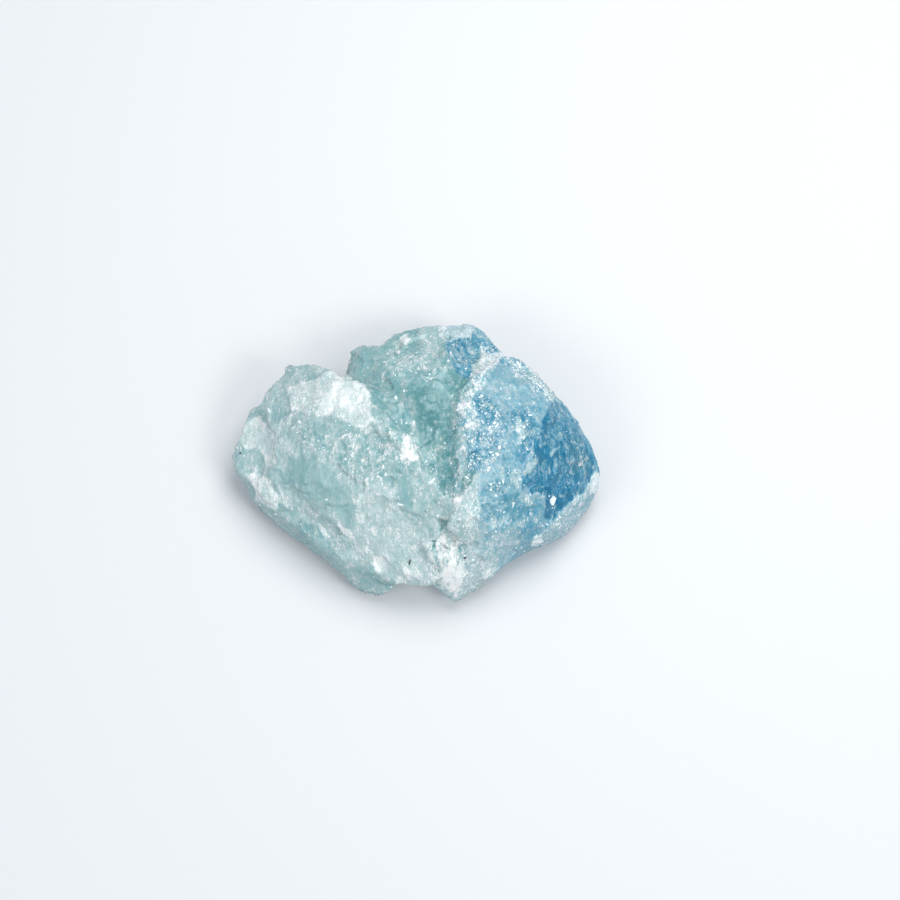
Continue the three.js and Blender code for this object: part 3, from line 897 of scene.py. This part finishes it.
def berylMaterial():
    bench = NodeBench("aquamarineBeryl")
    place = bench.add("ShaderNodeTexCoord").outputs["Object"]
    fan = bench.attribute("fan", "Vector")
    streaks = bench.add("ShaderNodeMapping", {"Vector": fan, "Scale": (1.0, 0.4, 0.8)}).outputs[0]
    shards = bench.add("ShaderNodeMapping", {"Vector": fan, "Scale": (1.0, 0.75, 0.95)}).outputs[0]
    mottle = bench.attribute("mottle")
    flecks = bench.attribute("flecks")
    ridge = bench.attribute("ridge")

    # cloudiness, from broad to fine
    broad = bench.noise(2.4, place, 3, 0.6, 0.4)
    patches = bench.noise(0.75, place, 5, 0.68, 0.6)
    fine = bench.noise(0.15, place, 2, 0.65)
    streak = bench.noise(0.66, streaks, 4, 0.65)

    # each small fracture face catches the light in its own way, so it has a tone of its own
    faceSpace = bench.warped(shards, 0.5, 0.5)
    largeFaces = bench.cellLot(1.1, faceSpace)
    middleFaces = bench.cellLot(0.45, faceSpace)
    smallFaces = bench.cellLot(0.21, faceSpace)

    # the finest grain is lively in some patches and quiet in others, and mostly lightens
    lively = bench.maths("MULTIPLY_ADD", bench.noise(1.3, shards, 3, 0.6, 0.5), 1.6, 0.55, clamp=True)
    grain = bench.maths("MULTIPLY", smallFaces, 1.3)
    grain = bench.maths("MULTIPLY_ADD", fine, 2.0, grain)
    grain = bench.maths("MAXIMUM", grain, bench.maths("MULTIPLY", grain, 0.35))
    grain = bench.maths("MULTIPLY", grain, lively)

    variation = bench.maths("MULTIPLY_ADD", patches, 0.5, grain)
    for field, weight in ((broad, 0.26), (streak, 0.36), (largeFaces, 0.18), (middleFaces, 0.42)):
        variation = bench.maths("MULTIPLY_ADD", field, weight, variation)
    shattered = bench.maths("MAXIMUM", bench.maths("SUBTRACT", mottle, 0.75), 0.0)
    variation = bench.maths("MULTIPLY_ADD", largeFaces, bench.maths("MULTIPLY", shattered, 1.6), variation)
    variation = bench.maths("SUBTRACT", variation, 0.22)
    tone = bench.maths("MULTIPLY_ADD", variation, mottle, bench.attribute("tone"))
    # ridges are made paler: partly crushed white along the crests, partly a painted highlight
    tone = bench.maths("MULTIPLY_ADD", bench.maths("MAXIMUM", ridge, 0.0), 0.3, tone)

    # small white fractures, partly painted glints: a few of the faces are chalk white, more of them where
    # "flecks" is high
    for size, share in ((0.27, 0.32), (0.15, 0.45)):
        lot = bench.cellLot(size, bench.warped(shards, 0.25, 0.3), shift=size * 40)
        limit = bench.maths("MULTIPLY_ADD", flecks, -share, 0.98)
        white = bench.maths("MULTIPLY", bench.maths("SUBTRACT", lot, limit), 30.0, clamp=True)
        tone = bench.maths("MULTIPLY_ADD", white, 1.3, tone)

    # thin healed cracks that show as pale lines, then the painted highlight and painted shade on the lips of
    # small breaks
    cracks = bench.noise(1.9, place, 4, 0.55, 0.8)
    line = bench.maths("MULTIPLY_ADD", bench.maths("ABSOLUTE", cracks), -28.0, 1.0, clamp=True)
    tone = bench.maths("MULTIPLY_ADD", bench.maths("MULTIPLY", line, mottle), 0.7, tone)
    for size, reach, weight in beryl["lips"]:
        lip = bench.maths("MULTIPLY", bench.strokes(size, shards, 0.22, reach), mottle)
        tone = bench.maths("MULTIPLY_ADD", lip, weight, tone)

    share = bench.maths("MULTIPLY_ADD", tone, 1 / 3, 1 / 3, clamp=True)
    teal = bench.ramp(share, colourStops(beryl["teal"]))
    blue = bench.ramp(share, colourStops(beryl["blue"]))
    hueDrift = bench.maths("MULTIPLY_ADD", broad, 0.25, bench.attribute("blue"), clamp=True)
    depthTone = bench.maths("MULTIPLY_ADD", broad, 0.3, bench.attribute("tone"))
    depthShare = bench.maths("MULTIPLY_ADD", depthTone, 1 / 3, 1 / 3, clamp=True)  # how deep one sees in
    colour = bench.mixColour(hueDrift, teal, blue)

    bumps = bench.maths("MULTIPLY_ADD", fine, 0.2, patches)
    for field, weight in ((streak, 0.5), (middleFaces, 0.35), (smallFaces, 0.12)):
        bumps = bench.maths("MULTIPLY_ADD", field, weight, bumps)
    bump = bench.bump(bumps, beryl["bumpStrength"], beryl["bumpHeight"])

    skinShader = bench.add("ShaderNodeBsdfPrincipled", {
        "Base Color": colour,
        "Roughness": bench.ramp(share, greyStops(beryl["roughness"])),
        "IOR": beryl["ior"],
        "Transmission Weight": bench.ramp(depthShare, greyStops(beryl["clearness"])),
        "Subsurface Weight": 0.12,
        "Subsurface Radius": (0.9, 1.1, 1.15),
        "Subsurface Scale": 0.8 * mm,
        "Normal": bump,
    })
    inside = bench.add("ShaderNodeVolumeAbsorption", {
        "Color": hexColour(beryl["absorption"]),
        "Density": beryl["absorptionDensity"],
    })
    return bench.finish(skinShader, inside)


# Small white fracture plates stand out of the skin wherever the crystal is shattered; their white is partly
# painted glints.
plates = {
    "count": 1300,
    "length": (0.12, 0.40),
    "slimness": (0.45, 0.95),   # breadth as a share of length
    "cluster": 1.3,             # size of the groups they stand in
    "thickness": (0.03, 0.07),
    "turn": 45,                 # degrees either side of the fan of fractures
    "tip": 28,                  # degrees a plate may lean out of the skin
    "largeThickness": 0.09,
    "seed": 21,
}
# the larger ones, each as (across, along, length, breadth, degrees from the y axis); the first and biggest
# stands in for a bright glint, a painted highlight
largePlates = [
    (15.3, -3.35, 1.5, 1.1, -15), (15.35, -4.05, 0.8, 0.2, 70), (16.2, -5.1, 0.75, 0.3, -40),
    (15.9, -5.4, 0.5, 0.25, 30), (14.95, -2.7, 0.3, 0.2, 0), (12.75, 6.95, 0.6, 0.25, 85),
    (10.4, 9.05, 0.35, 0.25, 60), (9.2, 3.2, 0.55, 0.4, 10), (9.05, 2.35, 0.6, 0.35, -50),
    (9.6, -0.95, 0.6, 0.22, -20), (10.85, -3.7, 0.75, 0.14, 5), (12.4, 2.8, 0.35, 0.3, 0),
    (12.7, -2.5, 0.5, 0.15, 0), (-17.3, 7.6, 0.95, 0.25, -35), (-16.9, 4.45, 0.9, 0.3, 35),
    (-14.5, 5.45, 0.7, 0.2, 55), (-14.0, 5.0, 0.6, 0.15, 80), (-7.5, 3.4, 1.2, 0.16, 5),
    (-8.6, 4.6, 0.9, 0.22, 75), (-3.9, -0.1, 0.6, 0.28, 5), (-4.2, 0.8, 0.5, 0.3, 10),
    (-2.2, -3.7, 0.7, 0.22, -70), (3.6, 14.35, 0.4, 0.3, -20), (3.35, 13.4, 0.4, 0.35, 0),
    (5.4, 12.5, 0.5, 0.2, 60), (-4.1, 13.35, 0.5, 0.2, 85), (1.7, 12.3, 0.7, 0.15, 30),
    (1.3, 11.35, 0.35, 0.25, 60), (-2.7, 9.1, 0.5, 0.4, 0), (1.5, -0.8, 1.3, 0.3, 38),
    (8.35, -7.6, 0.75, 0.14, -5), (5.5, -0.5, 0.6, 0.25, -50), (2.3, -3.5, 0.4, 0.25, 10),
]


def addPlate(soup, centre, outward, along, length, breadth, thickness, pick):
    # an irregular flat chip with 5 to 7 corners
    across = outward.cross(along).normalized()
    corners = pick.randint(5, 7)
    first = len(soup["points"])
    for level in (-0.5, 0.5):
        for corner in range(corners):
            angle = 2 * math.pi * (corner + pick.uniform(-0.28, 0.28)) / corners
            reach = pick.uniform(0.7, 1.1)
            spot = centre + along * (0.5 * length * reach * math.cos(angle))
            spot += across * (0.5 * breadth * reach * math.sin(angle)) + outward * (level * thickness)
            soup["points"].append(spot * mm)
    lower = [first + corner for corner in range(corners)]
    upper = [index + corners for index in lower]
    soup["faces"].append(lower[::-1])
    soup["faces"].append(upper)
    for corner in range(corners):
        after = (corner + 1) % corners
        soup["faces"].append([lower[corner], lower[after], upper[after], upper[corner]])


def fanDirection(centre, outward, turn):
    # the way the fractures run at a place on the skin, turned by some degrees
    along = Vector((centre.x, centre.y, 0)) - fanFoot.to_3d()
    along = (along - outward * along.dot(outward)).normalized()
    return Matrix.Rotation(math.radians(turn), 3, outward) @ along


def headingOn(outward, degrees):
    # the y axis laid down on the skin, then turned clockwise by some degrees
    north = Vector((0, 1, 0))
    along = (north - outward * north.dot(outward)).normalized()
    return Matrix.Rotation(math.radians(-degrees), 3, outward) @ along


# white fracture plates, partly painted glints
def fractureAndGlintPlates(mesh):
    points, normals = readPoints(mesh), readNormals(mesh)
    pick = random.Random(plates["seed"])
    soup = {"points": [], "faces": []}
    groups = smoothStep(-0.15, 0.45, noiseField(points, plates["cluster"], 12, 3))
    chance = (0.06 + groups) * skin["flecks"] ** 1.8 * (normals[:, 2] > 0.15) * (points[:, 2] > 1.0)
    chosen = pick.choices(range(len(points)), weights=chance.tolist(), k=plates["count"])
    for index in chosen:
        outward = Vector(normals[index])
        centre = Vector(points[index])
        along = fanDirection(centre, outward, pick.gauss(0, plates["turn"]))
        lean = Matrix.Rotation(math.radians(pick.uniform(-1, 1) * plates["tip"]), 3, along)
        short, long = plates["length"]
        length = short + (long - short) * pick.random() ** 2.2
        breadth = length * pick.uniform(*plates["slimness"])
        thickness = pick.uniform(*plates["thickness"])
        addPlate(soup, centre, lean @ outward, along, length, breadth, thickness, pick)
    for across, away, length, breadth, degrees in largePlates:
        spot, outward = skinSpot(points, normals, across, away)
        along = headingOn(outward, degrees)
        addPlate(soup, spot, outward, along, length, breadth, plates["largeThickness"], pick)
    chips = meshFrom("fractureAndGlintPlates", soup["points"], soup["faces"])
    chips.validate()
    return putInScene("fractureAndGlintPlates", chips)


# Faces sealed inside the clear parts: (across, along, breadth, depth below the skin).
veils = [
    (-11.4, -1.6, 3.4, 1.1), (-13.6, 0.4, 2.2, 0.8), (-9.0, -4.4, 1.8, 0.9), (3.2, 1.6, 2.2, 1.0),
    (2.4, 4.6, 1.8, 0.8), (15.4, 2.8, 2.6, 1.0), (16.0, -1.6, 2.2, 0.9), (15.2, 6.0, 1.6, 0.7),
    (-6.2, -12.2, 1.4, 0.8), (-6.4, 13.0, 1.8, 0.8), (2.4, 10.4, 2.4, 1.1), (-2.0, -2.0, 1.8, 0.9),
]
# Dark needles lying in the skin: (across, along, length, breadth, degrees from the y axis).
needles = [(-1.05, -10.5, 0.8, 0.22, 24), (5.3, -9.95, 0.3, 0.24, 60), (-20.5, 2.45, 0.34, 0.17, 75)]
needleThickness = 0.22
veilForm = {
    "rings": 5,
    "sides": 18,
    "slimness": 0.7,  # breadth across the fan as a share of the length along it
    "crumple": 0.22,
    "sag": 0.16,      # how far the border hangs below the middle, as a share of the reach
}


def skinSpot(points, normals, across, away):
    # the point of the upper skin nearest to a place in plan
    gap = np.linalg.norm(planOf(points) - (across, away), axis=1) + 50 * (normals[:, 2] < 0.1)
    index = int(gap.argmin())
    return Vector(points[index]), Vector(normals[index])


def sealedVeils(mesh):
    # thin crumpled sheets, each a fan of rings about its middle
    points, normals = readPoints(mesh), readNormals(mesh)
    corners, faces = [], []
    rings, sides = veilForm["rings"], veilForm["sides"]
    for order, (across, away, breadth, depth) in enumerate(veils):
        spot, outward = skinSpot(points, normals, across, away)
        middle = spot - outward * depth
        along = fanDirection(spot, outward, 0)
        side = outward.cross(along)
        first = len(corners)
        corners.append(middle * mm)
        for ring in range(1, rings + 1):
            for step in range(sides):
                angle = 2 * math.pi * step / sides
                reach = 0.5 * breadth * ring / rings
                wobbleAt = Vector((math.cos(angle) * 1.4, math.sin(angle) * 1.4, order * 3.1))
                reach *= 0.8 + 0.35 * noise.noise(wobbleAt)
                place = middle + along * (reach * math.cos(angle))
                place += side * (veilForm["slimness"] * reach * math.sin(angle))
                crumple = veilForm["crumple"] * noise.noise(place * 1.7) - veilForm["sag"] * reach
                corners.append((place + outward * crumple) * mm)
        for step in range(sides):
            after = (step + 1) % sides
            faces.append([first, first + 1 + step, first + 1 + after])
            for ring in range(rings - 1):
                inner = first + 1 + ring * sides
                outer = inner + sides
                faces.append([inner + step, outer + step, outer + after, inner + after])
    return putInScene("sealedVeils", meshFrom("sealedVeils", corners, faces))


def darkNeedles(mesh):
    points, normals = readPoints(mesh), readNormals(mesh)
    pick = random.Random(3)
    soup = {"points": [], "faces": []}
    for across, away, length, breadth, degrees in needles:
        spot, outward = skinSpot(points, normals, across, away)
        addPlate(soup, spot, outward, headingOn(outward, degrees), length, breadth, needleThickness, pick)
    return putInScene("darkNeedles", meshFrom("darkNeedles", soup["points"], soup["faces"]))


# size of the cloudy patches, how pale they are on the whole, and how rough the surface feels
minerals = {
    "healedFracture": {"colours": ("b4d4da", "eef8fa"), "patch": 0.3, "pale": 0.5, "roughness": 0.5,
                       "bump": 0.3},
    "darkNeedle": {"colours": ("101a1c", "2f4346"), "patch": 0.3, "pale": 0.5, "roughness": 0.4,
                   "bump": 0.3},
    # the white chips: white fractures, partly painted glints
    "whiteFractureAndGlint": {"colours": ("c9dfe6", "fcffff"), "patch": 0.2, "pale": 0.62, "roughness": 0.32,
                      "bump": 0.4, "ior": beryl["ior"]},
}


def mineralMaterial(name):
    look = minerals[name]
    bench = NodeBench(name)
    place = bench.add("ShaderNodeTexCoord").outputs["Object"]
    cloud = bench.noise(look["patch"], place, 3, 0.6)
    share = bench.maths("MULTIPLY_ADD", cloud, 0.9, look["pale"], clamp=True)
    dark, pale = look["colours"]
    return bench.finish(bench.add("ShaderNodeBsdfPrincipled", {
        "Base Color": bench.mixColour(share, hexColour(dark), hexColour(pale)),
        "Roughness": look["roughness"],
        "IOR": look.get("ior"),
        "Normal": bench.bump(cloud, look["bump"], 0.03),
    }))


sheets = sealedVeils(stone.data)
sheets.data.materials.append(mineralMaterial("healedFracture"))
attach(sheets, "root")
slivers = darkNeedles(stone.data)
slivers.data.materials.append(mineralMaterial("darkNeedle"))
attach(slivers, "root")
print("veils and needles:", len(sheets.data.polygons) + len(slivers.data.polygons), "faces")

flakes = fractureAndGlintPlates(stone.data)
flakes.data.materials.append(mineralMaterial("whiteFractureAndGlint"))
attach(flakes, "root")
print("fracture plates:", len(flakes.data.polygons), "faces")

writePoints(stone.data, readPoints(stone.data) * mm)
stone.data.materials.append(berylMaterial())
for face in stone.data.polygons:
    face.use_smooth = True
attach(stone, "root")
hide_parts("crystal")
print("stone finished")


table = {"size": 3.0, "colour": "dddfe1", "roughness": 0.55}

lights = {
    "frontRight": {"at": (0.31, -0.19, 0.38), "across": 0.20, "power": 0.87, "colour": "fffefc"},
    "frontLeft": {"at": (-0.29, -0.18, 0.31), "across": 0.22, "power": 0.47, "colour": "fffefc"},
    "back": {"at": (0.07, 0.10, 0.25), "across": 0.20, "power": 0.44, "colour": "fffefc"},
}
sky = {"colour": "eaf2fd", "strength": 0.52}
shot = {"elevation": 75, "distance": 0.2588, "lens": 90, "lookAt": (3.53, 1.49, 5.0)}


def buildTable():
    half = table["size"] / 2
    corners = [(-half, -half, 0), (half, -half, 0), (half, half, 0), (-half, half, 0)]
    floor = putInScene("table", meshFrom("table", corners, [(0, 1, 2, 3)]))
    bench = NodeBench("tableBoard")
    place = bench.add("ShaderNodeTexCoord").outputs["Object"]
    grain = bench.noise(0.6, place, 4, 0.6)
    bump = bench.bump(grain, 0.05, 0.05)
    board = bench.add("ShaderNodeBsdfPrincipled", {
        "Base Color": hexColour(table["colour"]),
        "Roughness": table["roughness"],
        "Normal": bump,
    })
    floor.data.materials.append(bench.finish(board))


def aimAt(thing, target):
    thing.rotation_euler = (Vector(target) - thing.location).to_track_quat("-Z", "Y").to_euler()


def buildLights():
    for name, light in lights.items():
        data = bpy.data.lights.new(name, "AREA")
        data.shape = "DISK"
        data.size = light["across"]
        data.energy = light["power"]
        data.color = hexColour(light["colour"])[:3]
        lamp = putInScene(name, data)
        lamp.location = light["at"]
        aimAt(lamp, (0, 0, 0))
    world = bpy.data.worlds.new("softRoom")
    world.use_nodes = True
    background = world.node_tree.nodes["Background"]
    background.inputs["Color"].default_value = hexColour(sky["colour"])
    background.inputs["Strength"].default_value = sky["strength"]
    bpy.context.scene.world = world


def buildCamera():
    data = bpy.data.cameras.new("overheadCamera")
    data.lens = shot["lens"]
    data.clip_start = 0.01
    camera = putInScene("overheadCamera", data)
    target = Vector(shot["lookAt"]) * mm
    tilt = math.radians(shot["elevation"])
    camera.location = target + shot["distance"] * Vector((0, -math.cos(tilt), math.sin(tilt)))
    aimAt(camera, target)
    bpy.context.scene.camera = camera


buildTable()
buildLights()
buildCamera()
bpy.context.scene.view_settings.view_transform = "Standard"
print("stage set")
